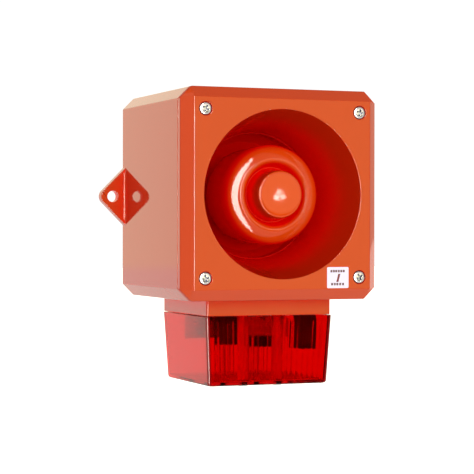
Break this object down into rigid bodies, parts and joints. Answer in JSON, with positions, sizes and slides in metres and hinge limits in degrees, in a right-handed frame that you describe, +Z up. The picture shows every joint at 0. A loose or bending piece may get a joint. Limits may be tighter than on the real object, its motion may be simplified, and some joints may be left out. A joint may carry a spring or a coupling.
{
  "type": "horn strobe",
  "caption": "Wall-mounted deep square enclosure with a re-entrant horn in its screwed front cover and a red flashing beacon below.",
  "frame": {"origin": "midway between the two wall screw holes, in the plane of the wall", "axes": "+Z up, +X to the right as seen from the front, the front faces -Y and the wall is at y = 0"},
  "size_m": [0.207, 0.1511, 0.2349],
  "materials": {
    "red_plastic": "polished moulded ABS",
    "red_lens": "clear red polycarbonate, polished",
    "seal_rubber": "moulded foam rubber",
    "black_plastic": "moulded nylon",
    "white_plastic": "moulded acetal",
    "cream_plastic": "moulded nylon",
    "green_plastic": "moulded polyamide",
    "blue_plastic": "moulded polyester",
    "switch_plastic": "moulded polyester",
    "capacitor_sleeve": "shrunk PVC sleeve",
    "board_laminate": "glass epoxy with solder mask",
    "phenolic_cloth": "resin-treated cloth",
    "brass": "machined",
    "stainless": "stainless, pickled",
    "zinc_steel": "zinc plated",
    "reflector_metal": "polished sheet",
    "foil_metal": "pressed foil",
    "copper_wire": "enamelled copper winding",
    "ferrite": "sintered ferrite, ground",
    "tube_glass": "clear borosilicate",
    "label_film": "printed polyester film",
    "red_wire": "PVC insulation",
    "black_wire": "PVC insulation"
  },
  "bodies": {
    "base": {"base_housing": "red_plastic", "threaded_inserts": "brass", "cover_gasket": "seal_rubber", "stopping_plug": "black_plastic", "stopping_plug_seal": "seal_rubber", "circuit_board": "board_laminate", "board_screws": "zinc_steel", "terminal_block": "green_plastic", "terminal_screws": "zinc_steel", "tone_switch_body": "switch_plastic", "volume_control_body": "blue_plastic", "filter_capacitors": "capacitor_sleeve", "step_up_transformer": "ferrite", "driver_transistors": "black_plastic", "horn_socket": "cream_plastic", "beacon_socket": "cream_plastic", "beacon_plug": "cream_plastic", "beacon_lead": "red_wire", "beacon_housing": "red_plastic", "beacon_gasket": "seal_rubber", "beacon_housing_screws": "zinc_steel", "beacon_board": "board_laminate", "beacon_board_screws": "zinc_steel", "flash_capacitor": "black_plastic", "trigger_coil": "black_plastic", "xenon_tube": "tube_glass", "tube_sleeve": "black_plastic", "tube_electrodes": "stainless", "beacon_reflector": "reflector_metal", "lens_gasket": "seal_rubber"},
    "cover": {"front_cover": "red_plastic", "cover_screws": "stainless", "cover_label": "label_film", "horn_bowl": "red_plastic", "horn_gasket": "seal_rubber", "horn_flange_screws": "zinc_steel", "horn_bell": "red_plastic", "bell_screws": "zinc_steel", "driver_ring": "black_plastic", "driver_top_plate": "zinc_steel", "driver_magnet": "ferrite", "driver_yoke": "zinc_steel", "driver_screws": "zinc_steel", "driver_lead": "black_wire", "horn_plug": "cream_plastic", "diaphragm_surround": "phenolic_cloth"},
    "diaphragm": {"diaphragm": "foil_metal", "voice_coil": "copper_wire"},
    "lens": {"beacon_lens": "red_lens", "lens_screws": "stainless", "lens_screw_seals": "seal_rubber"},
    "volume_knob": {"volume_knob": "white_plastic"},
    "tone_slider_1": {"tone_slider_1": "white_plastic"},
    "tone_slider_2": {"tone_slider_2": "white_plastic"},
    "tone_slider_3": {"tone_slider_3": "white_plastic"},
    "tone_slider_4": {"tone_slider_4": "white_plastic"},
    "tone_slider_5": {"tone_slider_5": "white_plastic"},
    "tone_slider_6": {"tone_slider_6": "white_plastic"}
  },
  "joints": [
    {"name": "cover_lift", "type": "slide", "parent": "base", "child": "cover", "axis": [0, -1, 0], "range_m": [0, 0.16]},
    {"name": "lens_drop", "type": "slide", "parent": "base", "child": "lens", "axis": [0, 0, -1], "range_m": [0, 0.09]},
    {"name": "horn_stroke", "type": "slide", "parent": "cover", "child": "diaphragm", "axis": [0, -1, 0], "range_m": [-0.0003, 0.0003], "stiffness_N_per_m": 800},
    {"name": "volume_turn", "type": "hinge", "parent": "base", "child": "volume_knob", "pos_m": [0.008, -0.0182, 0.042], "axis": [0, -1, 0], "range_deg": [-135, 135]},
    {"name": "tone_switch_1", "type": "slide", "parent": "base", "child": "tone_slider_1", "axis": [0, 0, 1], "range_m": [0, 0.0017]},
    {"name": "tone_switch_2", "type": "slide", "parent": "base", "child": "tone_slider_2", "axis": [0, 0, 1], "range_m": [0, 0.0017]},
    {"name": "tone_switch_3", "type": "slide", "parent": "base", "child": "tone_slider_3", "axis": [0, 0, 1], "range_m": [0, 0.0017]},
    {"name": "tone_switch_4", "type": "slide", "parent": "base", "child": "tone_slider_4", "axis": [0, 0, 1], "range_m": [0, 0.0017]},
    {"name": "tone_switch_5", "type": "slide", "parent": "base", "child": "tone_slider_5", "axis": [0, 0, 1], "range_m": [0, 0.0017]},
    {"name": "tone_switch_6", "type": "slide", "parent": "base", "child": "tone_slider_6", "axis": [0, 0, 1], "range_m": [0, 0.0017]}
  ]
}
